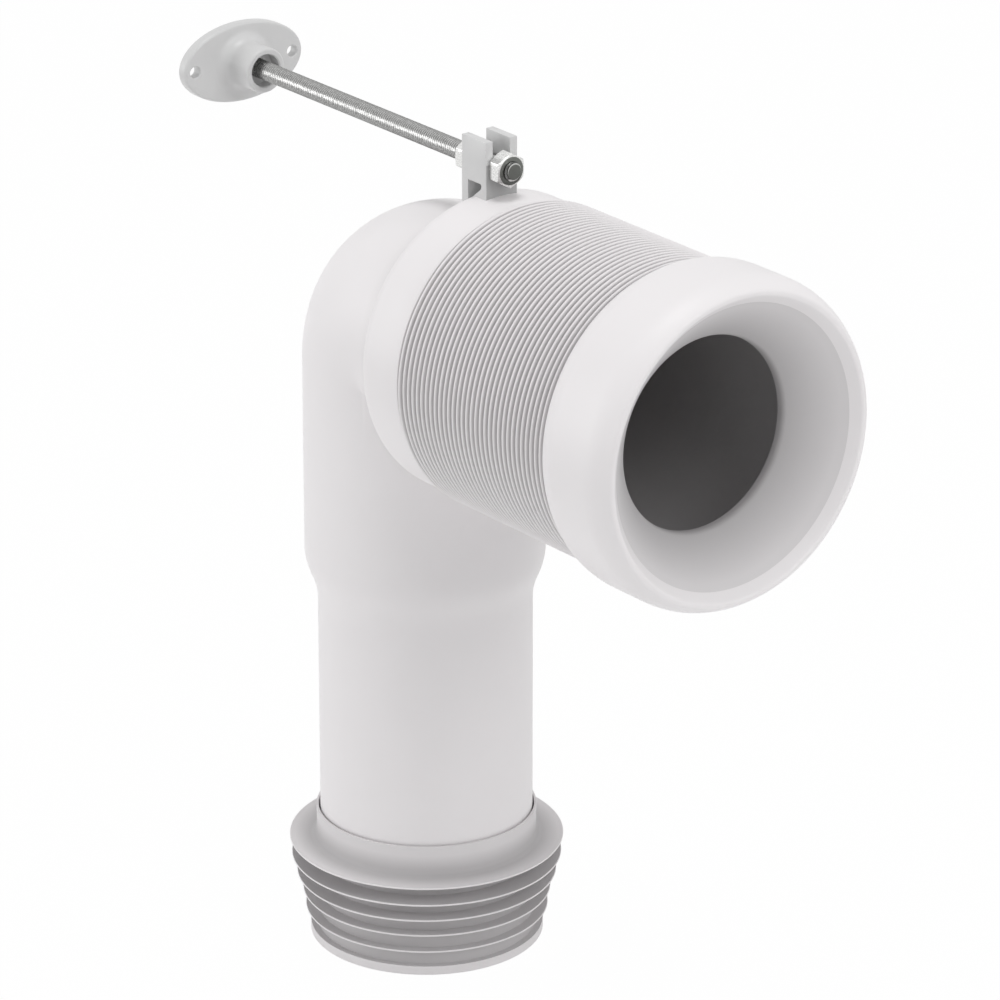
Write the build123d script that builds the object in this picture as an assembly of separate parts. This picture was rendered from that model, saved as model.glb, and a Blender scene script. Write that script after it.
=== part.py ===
from build123d import *
import os
from math import atan, sin

# Toilet pan connector, in millimetres.
# +Z is up along the soil-pipe spigot, +X points along the arm to the pan, the wall is on the -X side.
# The origin is on the spigot's axis, at the middle of the widest sealing fin.

# Bend: spigot, tapered step, tight elbow and collar in one moulding
pipe_od = 90.0
leg_step = 5.4
wall = 3.0
arm_height = 243.3
bend_radius = 20.0
taper_start = 117.0
taper_length = 24.0
collar_od = 127.0
collar_back = 38.5
collar_length = 27.9
collar_round = 8.0

# Forked lug on top of the collar
lug_overhang = 2.3
lug_length = 15.9
lug_plate = 3.7
lug_top = 11.6
rod_rise = 12.1
window_setback = 4.2
window_length = 8.8
window_height = 9.0
window_tip = 2.0
window_bridge = 2.2
window_round = 1.0

# Finned seal on the spigot: how far the flange, each fin and the lead-in ring stand out from the pipe
seal_gap = 0.25
seal_core = 1.4
flange_reach = 13.1
first_fin_reach = 12.25
second_fin_reach = 10.15
third_fin_reach = 7.7
fourth_fin_reach = 6.55
ring_reach = 4.55
fin_pitch = 8.05
fin_edge = 0.8
fin_root = 2.4
fin_sweep = 1.2
ring_height = 3.95
ring_lip = 2.6
upstand_height = 14.0
upstand_relief = 0.5
upstand_round = 3.0

# Bellows: pleated sleeve with a plain neck at each end
pleat_count = 32
pleat_pitch = 2.915
pleat_proud = 1.5
pleat_depth = 4.4
pleat_crest = 0.7
sleeve_wall = 2.2
rear_neck = 17.0
front_neck = 9.0
fit_gap = 0.3

# Cuff that goes round the pan's outlet
cuff_proud = 3.8
cuff_length = 41.7
cuff_wall = 4.5
cuff_back_drop = 3.3
cuff_back_run = 10.0
cuff_front_run = 13.3
cuff_shoulder = 1.4
mouth_wall = 10.2
flare_length = 5.0
flare_rise = 4.6
rim_round = 2.0

# Lip seal in the cuff
lip_od = 80.2
lip_setback = 18.5
lip_round = 4.0
membrane = 2.2
seal_web = 2.5
seal_ring_wall = 3.4
seat_gap = 0.15

# Threaded rod, nuts and wall flange
rod_d = 8.0
rod_chamfer = 0.8
rod_tip = 2.0
thread_gap = 0.1
slot_gap = 0.3
nut_flats = 13.0
nut_height = 6.5
nut_face = 11.8
flange_distance = 130.0
flange_end = 5.25
flange_height = 34.2
flange_plate = 4.5
flange_edge_round = 1.2
flange_rim = 0.5
screw_spacing = 50.0
screw_hole_d = 5.0
boss_od = 19.4
boss_length = 16.0
boss_root_round = 5.0
boss_recess_d = 14.0
boss_recess_depth = 6.0

# Places worked out from the sizes above
pipe_r = pipe_od / 2
leg_r = pipe_r + leg_step
collar_r = collar_od / 2
lip_r = lip_od / 2
bend_z = arm_height - bend_radius
collar_front = collar_back + collar_length
collar_bore_r = collar_r - wall
neck_r = collar_bore_r - fit_gap
pleat_r = collar_r + pleat_proud
groove_r = pleat_r - pleat_depth
sleeve_bore_r = neck_r - sleeve_wall
first_groove = collar_front + pleat_pitch / 2
last_groove = first_groove + pleat_count * pleat_pitch
cuff_back = last_groove + pleat_pitch / 2
cuff_front = cuff_back + cuff_length
cuff_r = pleat_r + cuff_proud
mouth_r = cuff_r - mouth_wall
chamber_back = cuff_back + front_neck + cuff_shoulder
chamber_front = cuff_front - flare_length
chamber_r = cuff_r - cuff_wall
seal_bore_r = pipe_r + seal_gap
core_r = seal_bore_r + seal_core
fin_reaches = (first_fin_reach, second_fin_reach, third_fin_reach, fourth_fin_reach)
flange_z = fin_pitch
ring_z = -fin_pitch * len(fin_reaches)
pipe_end = ring_z + fin_edge / 2 - ring_height + ring_lip
rod_z = arm_height + collar_r + rod_rise
slot_width = rod_d + 2 * slot_gap
lug_width = slot_width + 2 * lug_plate
lug_back = collar_back - lug_overhang
lug_front = lug_back + lug_length
rod_front = lug_front + nut_height + rod_tip
flange_front = flange_plate - flange_distance
flange_width = screw_spacing + 2 * flange_end
rod_back = flange_front

# Planes for the profiles, through the axis of the spigot, of the arm and of the rod
spigot_plane = Plane.XZ
arm_plane = Plane((0, 0, arm_height), x_dir=(1, 0, 0), z_dir=(0, -1, 0))
rod_plane = Plane((0, 0, rod_z), x_dir=(1, 0, 0), z_dir=(0, -1, 0))
spigot_axis = Axis.Z
arm_axis = Axis((0, 0, arm_height), (1, 0, 0))
rod_axis = Axis((0, 0, rod_z), (1, 0, 0))
elbow_axis = Axis((bend_radius, 0, bend_z), (0, 1, 0))


def turned(plane, axis, *edges):
    """A solid of revolution from the edges of a closed profile drawn on the plane."""
    return revolve(plane * make_face(Wire(list(edges))), axis)


def turned_polygon(plane, axis, points):
    """A solid of revolution from a straight-sided profile drawn on the plane."""
    return revolve(plane * make_face(Polyline(*points, close=True)), axis)


def riser(radius_low, radius_high, bottom):
    """The vertical leg from its lower end up to the elbow, with an S-shaped step between its two radii."""
    taper_top = taper_start + taper_length
    middle = ((radius_low + radius_high) / 2, taper_start + taper_length / 2)
    step_low = TangentArc((radius_low, taper_start), middle, tangent=(0, 1))
    step_high = TangentArc(middle, (radius_high, taper_top), tangent=step_low % 1)
    below = Polyline((0, bend_z), (0, bottom), (radius_low, bottom), (radius_low, taper_start))
    above = Polyline((radius_high, taper_top), (radius_high, bend_z), (0, bend_z))
    return turned(spigot_plane, spigot_axis, *below.edges(), step_low, step_high, *above.edges())


def elbow(radius):
    """A quarter turn of the part of a disc that lies outside the elbow's turning axis."""
    disc = Circle(radius) - Pos(bend_radius + radius, 0) * Rectangle(2 * radius, 2 * radius)
    quarter = Pos(0, 0, bend_z) * disc
    return revolve(quarter, elbow_axis, 90)


def drum(back, front, radius, back_round):
    """A solid drum on the arm's axis with a rounded back edge."""
    flat_r = radius - back_round
    face = Polyline((back, 0), (back, flat_r))
    edge = RadiusArc((back, flat_r), (back + back_round, radius), back_round)
    side = Polyline((back + back_round, radius), (front, radius), (front, 0), (back, 0))
    return turned(arm_plane, arm_axis, *face.edges(), edge, *side.edges())


def level_bar(front, radius):
    """A plain bar on the arm's axis, from the end of the elbow forward."""
    outline = [(bend_radius, 0), (bend_radius, radius), (front, radius), (front, 0)]
    return turned_polygon(arm_plane, arm_axis, outline)


def arm_outside():
    """The short level leg, with the collar round it."""
    return level_bar(collar_front, leg_r) + drum(collar_back, collar_front, collar_r, collar_round)


def arm_inside():
    """The waterway in the level leg, and the socket in the collar that takes the bellows' rear neck."""
    past = collar_front + wall
    return level_bar(past, leg_r - wall) + drum(collar_back + wall, past, collar_bore_r, collar_round - wall)


def lug():
    """The fork: a block with an open-topped slot for the rod, and a tapered window through its sides."""
    foot_z = arm_height + leg_r - wall / 2
    top_z = rod_z + lug_top
    middle = lug_back + lug_length / 2
    block = Pos(middle, 0, (foot_z + top_z) / 2) * Box(lug_length, lug_width, top_z - foot_z)
    slot_length = lug_length + 2 * wall
    slot_height = lug_top + wall
    slot = Pos(middle, 0, rod_z + slot_height / 2) * Box(slot_length, slot_width, slot_height)
    seat = Pos(middle, 0, rod_z) * Rot(0, 90, 0) * Cylinder(slot_width / 2, slot_length)
    top = -slot_width / 2 - window_bridge
    rear = lug_back + window_setback
    tip = rear + window_length
    corners = [(rear, top), (tip, top), (tip, top - window_tip), (rear, top - window_height)]
    outline = make_face(Polyline(*corners, close=True))
    tip_corners = outline.vertices().sort_by(Axis.X)[-2:]
    window = extrude(rod_plane * fillet(tip_corners, window_round), lug_width, both=True)
    return block - slot - seat - window


def bend():
    """The whole bend moulding: outside shapes joined, then the waterway taken out in one cut."""
    outside = riser(pipe_r, leg_r, pipe_end) + elbow(leg_r) + arm_outside() + lug()
    inside = riser(pipe_r - wall, leg_r - wall, pipe_end - wall) + elbow(leg_r - wall) + arm_inside()
    return outside - inside


def finned_seal():
    """Rubber seal: relieved upstand and flange above, swept flat-edged fins, and a lead-in ring below."""
    half_edge = fin_edge / 2
    half_root = fin_root / 2
    upstand_top = flange_z + upstand_height
    flange_r = pipe_r + flange_reach
    ring_r = pipe_r + ring_reach
    ring_top = ring_z + half_edge
    ring_bottom = ring_top - ring_height
    lip_in_r = pipe_r - wall
    points = [(seal_bore_r, flange_z), (seal_bore_r + upstand_relief, upstand_top), (core_r, upstand_top)]
    points += [(core_r, flange_z + half_edge), (flange_r, flange_z + half_edge)]
    points += [(flange_r, flange_z - half_edge), (core_r, flange_z - fin_sweep - half_root)]
    for index, reach in enumerate(fin_reaches):
        fin_z = -fin_pitch * index
        fin_r = pipe_r + reach
        points += [(core_r, fin_z - fin_sweep + half_root), (fin_r, fin_z + half_edge)]
        points += [(fin_r, fin_z - half_edge), (core_r, fin_z - fin_sweep - half_root)]
    points += [(core_r, ring_top), (ring_r, ring_top), (ring_r, ring_bottom)]
    points += [(lip_in_r, ring_bottom), (lip_in_r, pipe_end), (seal_bore_r, pipe_end)]
    profile = make_face(Polyline(*points, close=True))
    root = profile.vertices().sort_by_distance((core_r, flange_z + half_edge))[0]
    return revolve(spigot_plane * fillet(root, upstand_round), spigot_axis)


def bellows():
    """Flexible sleeve: a smooth bore, plain necks, and a zigzag outside with narrow flat crests."""
    neck_back = collar_front - rear_neck
    neck_front = cuff_back + front_neck
    half_crest = pleat_crest / 2
    points = [(neck_back, sleeve_bore_r), (neck_back, neck_r), (collar_front, neck_r)]
    for index in range(pleat_count):
        groove = first_groove + index * pleat_pitch
        crest = groove + pleat_pitch / 2
        points += [(groove, groove_r), (crest - half_crest, pleat_r), (crest + half_crest, pleat_r)]
    points += [(last_groove, groove_r), (cuff_back, neck_r)]
    points += [(neck_front, neck_r), (neck_front, sleeve_bore_r)]
    return turned_polygon(arm_plane, arm_axis, points)


def pan_cuff():
    """The rounded ring: bore for the bellows' neck, chamber for the lip seal, and a flared rim."""
    back_r = cuff_r - cuff_back_drop
    crown_start = cuff_back + cuff_back_run
    crown_end = cuff_front - cuff_front_run
    rim = (cuff_front, mouth_r + flare_rise)
    neck_bore_r = neck_r + fit_gap
    shoulder = TangentArc((crown_start, cuff_r), (cuff_back, back_r), tangent=(-1, 0))
    crown = Line((crown_start, cuff_r), (crown_end, cuff_r))
    nose = TangentArc((crown_end, cuff_r), rim, tangent=(1, 0))
    inside = Polyline(rim, (chamber_front, mouth_r), (chamber_front, chamber_r), (chamber_back, chamber_r),
                      (chamber_back, neck_bore_r), (cuff_back, neck_bore_r), (cuff_back, back_r))
    profile = make_face(Wire([shoulder, crown, nose, *inside.edges()]))
    rim_corner = profile.vertices().sort_by_distance(rim)[0]
    return revolve(arm_plane * fillet(rim_corner, rim_round), arm_axis)


def lip_seal():
    """Rubber seal: an outer ring that fills the cuff's chamber, and a funnel with a rounded lip."""
    ring_r = chamber_r - seat_gap
    ring_in_r = ring_r - seal_ring_wall
    lip_front = chamber_front - lip_setback
    steepness = (mouth_r - lip_r) / lip_setback
    lip_back = lip_front - membrane / sin(atan(steepness))
    web_back = chamber_front - seal_web
    web_r = lip_r + (web_back - lip_back) * steepness
    points = [(chamber_back, ring_in_r), (chamber_back, ring_r)]
    points += [(chamber_front, ring_r), (chamber_front, mouth_r)]
    points += [(lip_front, lip_r), (lip_back, lip_r), (web_back, web_r), (web_back, ring_in_r)]
    profile = make_face(Polyline(*points, close=True))
    edge = profile.vertices().sort_by_distance((lip_front, lip_r))[0]
    return revolve(arm_plane * fillet(edge, lip_round), arm_axis)


def threaded_rod():
    """The rod as a plain bar with chamfered ends, from its seat in the boss to just past the front nut."""
    bar = Cylinder(rod_d / 2, rod_front - rod_back)
    bar = chamfer(bar.edges(), rod_chamfer)
    return Pos((rod_front + rod_back) / 2, 0, rod_z) * Rot(0, 90, 0) * bar


def hexagon_nut(back):
    """A hexagon nut chamfered round on both faces, with flats to the sides, from the plane x = back."""
    prism = extrude(RegularPolygon(nut_flats / 2, 6, major_radius=False), nut_height)
    corner_r = prism.bounding_box().size.X / 2
    rise = (corner_r - nut_face / 2) / 2
    envelope = [(0, 0), (nut_face / 2, 0), (corner_r, rise), (corner_r, nut_height - rise)]
    envelope += [(nut_face / 2, nut_height), (0, nut_height)]
    blank = prism & turned_polygon(Plane.XZ, Axis.Z, envelope)
    hole = Pos(0, 0, nut_height / 2) * Cylinder(rod_d / 2 + thread_gap, 2 * nut_height)
    return Pos(back, 0, rod_z) * Rot(0, 90, 0) * (blank - hole)


def wall_flange():
    """Oval plate and boss in one moulding, with two screw holes, a recess and the seat for the rod."""
    oval = Ellipse(flange_height / 2, flange_width / 2)
    plate = extrude(oval, flange_plate)
    plate = fillet(plate.edges().sort_by(Axis.Z)[-1], flange_edge_round)
    upward = (Align.CENTER, Align.CENTER, Align.MIN)
    boss = Pos(0, 0, flange_plate) * Cylinder(boss_od / 2, boss_length, align=upward)
    body = plate + boss
    foot_room = flange_height / 2 - flange_edge_round - flange_rim - boss_od / 2
    circles = body.edges().filter_by(GeomType.CIRCLE)
    foot = [edge for edge in circles if edge.center().Z < flange_plate + boss_length / 2]
    body = fillet(foot, min(boss_root_round, foot_room))
    holes = Pos(0, screw_spacing / 2) * Cylinder(screw_hole_d / 2, 4 * flange_plate)
    holes += Pos(0, -screw_spacing / 2) * Cylinder(screw_hole_d / 2, 4 * flange_plate)
    seat = Pos(0, 0, flange_plate) * Cylinder(rod_d / 2 + thread_gap, boss_length, align=upward)
    recess = Pos(0, 0, flange_plate + boss_length) * Cylinder(boss_recess_d / 2, 2 * boss_recess_depth)
    return Pos(-flange_distance, 0, rod_z) * Rot(0, 90, 0) * (body - holes - seat - recess)


parts = {
    "bend": bend(),
    "finned_seal": finned_seal(),
    "bellows": bellows(),
    "pan_cuff": pan_cuff(),
    "lip_seal": lip_seal(),
    "threaded_rod": threaded_rod(),
    "front_nut": hexagon_nut(lug_front),
    "rear_nut": hexagon_nut(lug_back - nut_height),
    "wall_flange": wall_flange(),
}

os.makedirs("parts", exist_ok=True)
for name, solid in parts.items():
    solid.label = name
    export_step(solid, f"parts/{name}.step")
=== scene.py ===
import logging
import math
from dataclasses import dataclass
from enum import Enum
from typing import Sequence

import bmesh
import bpy
from bmesh.types import BMEdge, BMesh, BMVert
from bpy.types import Material, Mesh, Node, NodeSocket, NodeTree, Object
from mathutils import Matrix, Vector


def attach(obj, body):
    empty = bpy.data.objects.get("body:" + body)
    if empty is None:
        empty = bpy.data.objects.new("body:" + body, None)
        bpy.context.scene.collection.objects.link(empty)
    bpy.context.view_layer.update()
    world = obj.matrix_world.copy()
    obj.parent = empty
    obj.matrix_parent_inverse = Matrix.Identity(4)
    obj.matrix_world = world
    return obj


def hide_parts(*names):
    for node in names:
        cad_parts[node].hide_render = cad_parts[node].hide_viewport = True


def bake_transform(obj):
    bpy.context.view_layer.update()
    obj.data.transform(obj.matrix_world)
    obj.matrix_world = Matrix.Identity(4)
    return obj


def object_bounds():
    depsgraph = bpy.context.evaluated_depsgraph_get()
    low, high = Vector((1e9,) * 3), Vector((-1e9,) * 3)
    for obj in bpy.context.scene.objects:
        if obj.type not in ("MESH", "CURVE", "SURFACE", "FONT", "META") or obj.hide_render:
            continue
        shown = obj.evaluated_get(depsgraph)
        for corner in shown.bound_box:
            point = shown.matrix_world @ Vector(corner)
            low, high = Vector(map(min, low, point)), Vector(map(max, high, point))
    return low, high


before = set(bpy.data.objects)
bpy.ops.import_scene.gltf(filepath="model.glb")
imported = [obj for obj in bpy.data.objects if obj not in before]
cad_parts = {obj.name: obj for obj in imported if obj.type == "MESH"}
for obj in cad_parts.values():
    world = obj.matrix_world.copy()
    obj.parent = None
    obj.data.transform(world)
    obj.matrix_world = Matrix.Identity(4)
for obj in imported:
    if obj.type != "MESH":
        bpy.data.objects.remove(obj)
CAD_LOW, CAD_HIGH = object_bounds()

Flat = tuple[float, float]
Point = tuple[float, float, float]

MM = 0.001
SEAM = 1e-6
FINE_TURN = 160
SMALL_TURN = 64
SMOOTH_ANGLE = math.radians(32.0)
END_FACING = 0.95

log = logging.getLogger("pan_connector")


class Body(str, Enum):
    """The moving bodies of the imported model."""

    CONNECTOR = "connector"
    CUFF = "cuff"
    STAY = "stay"
    FLANGE = "flange"
    FRONT_NUT = "front_nut"
    REAR_NUT = "rear_nut"


class Slot(str, Enum):
    """The record's material slots."""

    WHITE = "white_moulding"
    SLEEVE = "pleated_sleeve"
    RUBBER = "grey_rubber"
    STEEL = "plated_steel"


class Tool(str, Enum):
    """What a second shape does to the first one."""

    ADD = "UNION"
    TAKE = "DIFFERENCE"
    KEEP = "INTERSECT"


@dataclass(frozen=True)
class Datum:
    """Places and sizes that more than one sub-assembly or finish works to."""

    arm_height: float = 243.3
    rod_height: float = 318.9
    pipe_r: float = 45.0
    pipe_end: float = -33.15
    leg_r: float = 50.4
    wall: float = 3.0
    collar_back: float = 38.5
    collar_front: float = 66.4
    collar_bore_r: float = 60.5
    neck_r: float = 60.2
    pleat_r: float = 65.0
    pleat_depth: float = 4.4
    pleat_pitch: float = 2.915
    pleat_count: int = 32
    mouth_r: float = 58.6
    lip_r: float = 40.1
    chamber_r: float = 64.3
    cuff_length: float = 41.7
    cuff_shoulder: float = 1.4
    flare_length: float = 5.0
    front_neck: float = 9.0
    fit_gap: float = 0.3
    lug_back: float = 36.2
    lug_length: float = 15.9
    rod_r: float = 4.0
    nut_height: float = 6.5
    wall_face: float = -129.99
    flange_plate: float = 4.49

    @property
    def first_groove(self) -> float:
        """Middle of the groove between the collar and the first pleat."""
        return self.collar_front + self.pleat_pitch / 2

    @property
    def last_groove(self) -> float:
        """Middle of the groove between the last pleat and the cuff."""
        return self.first_groove + self.pleat_count * self.pleat_pitch

    @property
    def cuff_back(self) -> float:
        """Back face of the cuff."""
        return self.last_groove + self.pleat_pitch / 2

    @property
    def cuff_front(self) -> float:
        """Place of the cuff's rim."""
        return self.cuff_back + self.cuff_length

    @property
    def chamber_back(self) -> float:
        """Back end of the lip seal's chamber."""
        return self.cuff_back + self.front_neck + self.cuff_shoulder

    @property
    def chamber_front(self) -> float:
        """Front end of the lip seal's chamber, where the rim's flare meets the funnel."""
        return self.cuff_front - self.flare_length

    @property
    def lug_front(self) -> float:
        """Front face of the fork."""
        return self.lug_back + self.lug_length

    @property
    def flange_front(self) -> float:
        """Front face of the wall flange's plate."""
        return self.wall_face + self.flange_plate


DATUM = Datum()


@dataclass(frozen=True)
class Sheet:
    """A plane to draw on, with the axis that its outlines turn about.

    Attributes:
        origin: A point on the turning axis, in millimetres.
        along: The axis, which is the first drawing direction.
        out: The direction away from the axis, the second drawing direction.
    """

    origin: Point
    along: Point
    out: Point

    @property
    def normal(self) -> Vector:
        """The direction that a turn from along to out goes round."""
        return Vector(self.along).cross(Vector(self.out))

    def point(self, spot: Flat) -> Vector:
        """Place a drawn spot in space.

        Args:
            spot: Distance along the axis and distance out from it, in millimetres.

        Returns:
            The point in metres.
        """
        return (Vector(self.origin) + Vector(self.along) * spot[0] + Vector(self.out) * spot[1]) * MM


def level_sheet(height: float, turn: float = 0.0) -> Sheet:
    """Lay a sheet along the arm's direction.

    Args:
        height: Height of its axis, in millimetres.
        turn: Angle round the axis from upright, in radians.

    Returns:
        The sheet.
    """
    return Sheet((0.0, 0.0, height), (1.0, 0.0, 0.0), (0.0, math.sin(turn), math.cos(turn)))


SPIGOT = Sheet((0.0, 0.0, 0.0), (0.0, 0.0, 1.0), (1.0, 0.0, 0.0))
ARM = level_sheet(DATUM.arm_height)
ROD = level_sheet(DATUM.rod_height)
# Turned by half a step, so that no edge of the collar or of the recess lies on an edge of what it meets.
COLLAR = level_sheet(DATUM.arm_height, math.pi / FINE_TURN)
RECESS = level_sheet(DATUM.rod_height, math.pi / SMALL_TURN)


def tangent_circle(spot: Flat, heading: Flat, end: Flat) -> tuple[Flat, float]:
    """Find the circle that leaves a spot on a heading and comes to an end.

    Args:
        spot: Where the curve starts.
        heading: Unit direction in which it leaves.
        end: Where it ends.

    Returns:
        The circle's centre and the signed angle turned, in degrees.
    """
    step = Vector(end) - Vector(spot)
    ahead = Vector(heading)
    left = Vector((-ahead.y, ahead.x))
    radius = step.length_squared / (2 * step.dot(left))
    centre = Vector(spot) + left * radius
    turn = 2 * math.atan2(step.dot(left), step.dot(ahead))
    return (centre.x, centre.y), math.degrees(turn)


class Pen:
    """Draws an outline on a sheet with vertex extrusions and spins, and turns or thickens it into a shape."""

    def __init__(self, sheet: Sheet, start: Flat) -> None:
        """Put the pen down.

        Args:
            sheet: The plane drawn on.
            start: The first spot.
        """
        self.sheet = sheet
        self.mesh: BMesh = bmesh.new()
        self.first: BMVert = self.mesh.verts.new(sheet.point(start))
        self.tip: BMVert = self.first

    def line(self, *stops: Flat) -> "Pen":
        """Draw straight to each stop in turn.

        Args:
            stops: The spots to go to.

        Returns:
            The pen.
        """
        for stop in stops:
            made = bmesh.ops.extrude_vert_indiv(self.mesh, verts=[self.tip])
            self.tip = made["verts"][0]
            self.tip.co = self.sheet.point(stop)
        return self

    def arc(self, centre: Flat, degrees: float, steps: int = 8) -> "Pen":
        """Draw part of a circle from where the pen is.

        Args:
            centre: The circle's centre.
            degrees: The angle turned, anticlockwise.
            steps: The number of straight pieces.

        Returns:
            The pen.
        """
        made = bmesh.ops.spin(
            self.mesh, geom=[self.tip], cent=self.sheet.point(centre), axis=self.sheet.normal,
            dvec=(0.0, 0.0, 0.0), angle=math.radians(degrees), steps=steps, use_merge=False,
        )
        self.tip = next(item for item in made["geom_last"] if isinstance(item, BMVert))
        return self

    def arc_to(self, centre: Flat, start: Flat, end: Flat, steps: int = 8) -> "Pen":
        """Draw the shorter part of a circle between two spots on it, the pen being on the first one.

        Args:
            centre: The circle's centre.
            start: Where the pen is.
            end: Where to go.
            steps: The number of straight pieces.

        Returns:
            The pen.
        """
        near, far = Vector(start) - Vector(centre), Vector(end) - Vector(centre)
        return self.arc(centre, -math.degrees(near.angle_signed(far)), steps)

    def close(self) -> "Pen":
        """Join the pen's place to where it began."""
        self.mesh.edges.new((self.tip, self.first))
        return self

    def turn(self, steps: int = FINE_TURN) -> BMesh:
        """Turn the outline fully about the sheet's axis.

        Args:
            steps: The number of steps in the turn.

        Returns:
            The turned shape.
        """
        bmesh.ops.spin(
            self.mesh, geom=self.mesh.verts[:] + self.mesh.edges[:], cent=self.sheet.point((0.0, 0.0)),
            axis=self.sheet.along, dvec=(0.0, 0.0, 0.0), angle=math.tau, steps=steps, use_merge=True,
        )
        return seamed(self.mesh)

    def thicken(self, length: float) -> BMesh:
        """Fill the closed outline and draw it out on both sides of the sheet.

        Args:
            length: The whole thickness.

        Returns:
            The block.
        """
        half = self.sheet.normal * length * MM / 2
        face = bmesh.ops.contextual_create(self.mesh, geom=self.mesh.edges[:])["faces"][0]
        made = bmesh.ops.extrude_face_region(self.mesh, geom=[face])
        moved = verts_in(made["geom"])
        still = [vert for vert in self.mesh.verts if vert not in set(moved)]
        bmesh.ops.translate(self.mesh, vec=half, verts=moved)
        bmesh.ops.translate(self.mesh, vec=-half, verts=still)
        return seamed(self.mesh)


def drum(sheet: Sheet, low: float, high: float, radius: float) -> BMesh:
    """Make a small round bar about a sheet's axis.

    Args:
        sheet: The sheet that has the axis.
        low: Where the bar starts along the axis.
        high: Where it ends.
        radius: Its radius.

    Returns:
        The bar.
    """
    return Pen(sheet, (low, 0.0)).line((low, radius), (high, radius), (high, 0.0)).turn(SMALL_TURN)


def verts_in(geom: Sequence[object]) -> list[BMVert]:
    """The vertices among the items that an operator made."""
    return [item for item in geom if isinstance(item, BMVert)]


def everything(mesh: BMesh) -> list[object]:
    """All vertices, edges and faces of a shape."""
    return mesh.verts[:] + mesh.edges[:] + mesh.faces[:]


def split(mesh: BMesh, place: Vector, way: Sequence[float], clear: bool = False) -> None:
    """Cut the faces of a shape along a plane.

    Args:
        mesh: The shape.
        place: A point on the plane, in metres.
        way: The plane's normal.
        clear: Whether to take away what lies on the normal's side.
    """
    bmesh.ops.bisect_plane(
        mesh, geom=everything(mesh), dist=SEAM, plane_co=place, plane_no=way, clear_outer=clear,
    )


def soften(mesh: BMesh, edges: list[BMEdge], offset: float, segments: int) -> None:
    """Round edges off.

    Args:
        mesh: The shape.
        edges: The edges.
        offset: How far the round reaches from each edge, in millimetres.
        segments: The number of faces across the round.
    """
    bmesh.ops.bevel(
        mesh, geom=edges, offset=offset * MM, offset_type="OFFSET", segments=segments, profile=0.5,
        affect="EDGES", material=-1, clamp_overlap=True,
    )


def edges_at(mesh: BMesh, sheet: Sheet, place: float) -> list[BMEdge]:
    """Find the edges that lie at one place along a sheet's axis.

    Args:
        mesh: The shape.
        sheet: The sheet that has the axis.
        place: The place, in millimetres.

    Returns:
        The edges.
    """
    along = Vector(sheet.along)
    return [
        edge for edge in mesh.edges
        if all(abs(vert.co.dot(along) - place * MM) < SEAM for vert in edge.verts)
    ]


def drawn_on(
    mesh: BMesh, ring: list[BMEdge], sheet: Sheet, radius: float, stops: Sequence[Flat],
) -> list[BMEdge]:
    """Draw a ring of open edges on through further rings about a sheet's axis.

    Args:
        mesh: The shape.
        ring: The open edges.
        sheet: The sheet that has the axis.
        radius: The ring's radius.
        stops: Place along the axis and radius of each further ring, in millimetres.

    Returns:
        The edges of the last ring.
    """
    along = Vector(sheet.along)
    across = Vector((1.0, 1.0, 1.0)) - along
    axis = Matrix.Translation(-sheet.point((0.0, 0.0)))
    for place, reach in stops:
        made = bmesh.ops.extrude_edge_only(mesh, edges=ring)["geom"]
        ring = [item for item in made if isinstance(item, BMEdge)]
        spots = verts_in(made)
        bmesh.ops.scale(mesh, vec=along + across * (reach / radius), space=axis, verts=spots)
        bmesh.ops.translate(mesh, vec=along * (place * MM - spots[0].co.dot(along)), verts=spots)
        radius = reach
    return ring


def seamed(mesh: BMesh) -> BMesh:
    """Merge doubled vertices and turn every face outwards.

    Args:
        mesh: The shape.

    Returns:
        The same shape.
    """
    bmesh.ops.remove_doubles(mesh, verts=mesh.verts[:], dist=SEAM)
    bmesh.ops.dissolve_degenerate(mesh, edges=mesh.edges[:], dist=SEAM)
    bmesh.ops.recalc_face_normals(mesh, faces=mesh.faces[:])
    return mesh


def painted(mesh: BMesh, index: int) -> BMesh:
    """Give all faces of a shape one material index.

    Args:
        mesh: The shape.
        index: The material index.

    Returns:
        The same shape.
    """
    for face in mesh.faces:
        face.material_index = index
    return mesh


def with_ends(mesh: BMesh, index: int) -> BMesh:
    """Give the faces that look along the rod their own material index.

    Args:
        mesh: The shape.
        index: The material index.

    Returns:
        The same shape.
    """
    for face in mesh.faces:
        if abs(face.normal.x) > END_FACING:
            face.material_index = index
    return mesh


def as_object(name: str, mesh: BMesh) -> Object:
    """Turn a bmesh into an object in the scene.

    Args:
        name: The object's name.
        mesh: The shape, which is used up.

    Returns:
        The new object.
    """
    data = bpy.data.meshes.new(name)
    mesh.to_mesh(data)
    mesh.free()
    made = bpy.data.objects.new(name, data)
    bpy.context.scene.collection.objects.link(made)
    return made


def carve(body: Object, *steps: tuple[Tool, BMesh]) -> None:
    """Join shapes to an object and cut shapes out of it, in order.

    Args:
        body: The object to work on.
        steps: The tool and the shape of each step.
    """
    helpers: list[Object] = []
    for tool, shape in steps:
        helper = as_object("helper", shape)
        helpers.append(helper)
        step = body.modifiers.new(tool.name, "BOOLEAN")
        step.operation = tool.value
        step.solver = "EXACT"
        step.object = helper
    bpy.context.view_layer.update()
    graph = bpy.context.evaluated_depsgraph_get()
    final = bpy.data.meshes.new_from_object(body.evaluated_get(graph))
    body.modifiers.clear()
    old = body.data
    body.data = final
    bpy.data.meshes.remove(old)
    for helper in helpers:
        data = helper.data
        bpy.data.objects.remove(helper)
        bpy.data.meshes.remove(data)
    final.name = body.name


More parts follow.
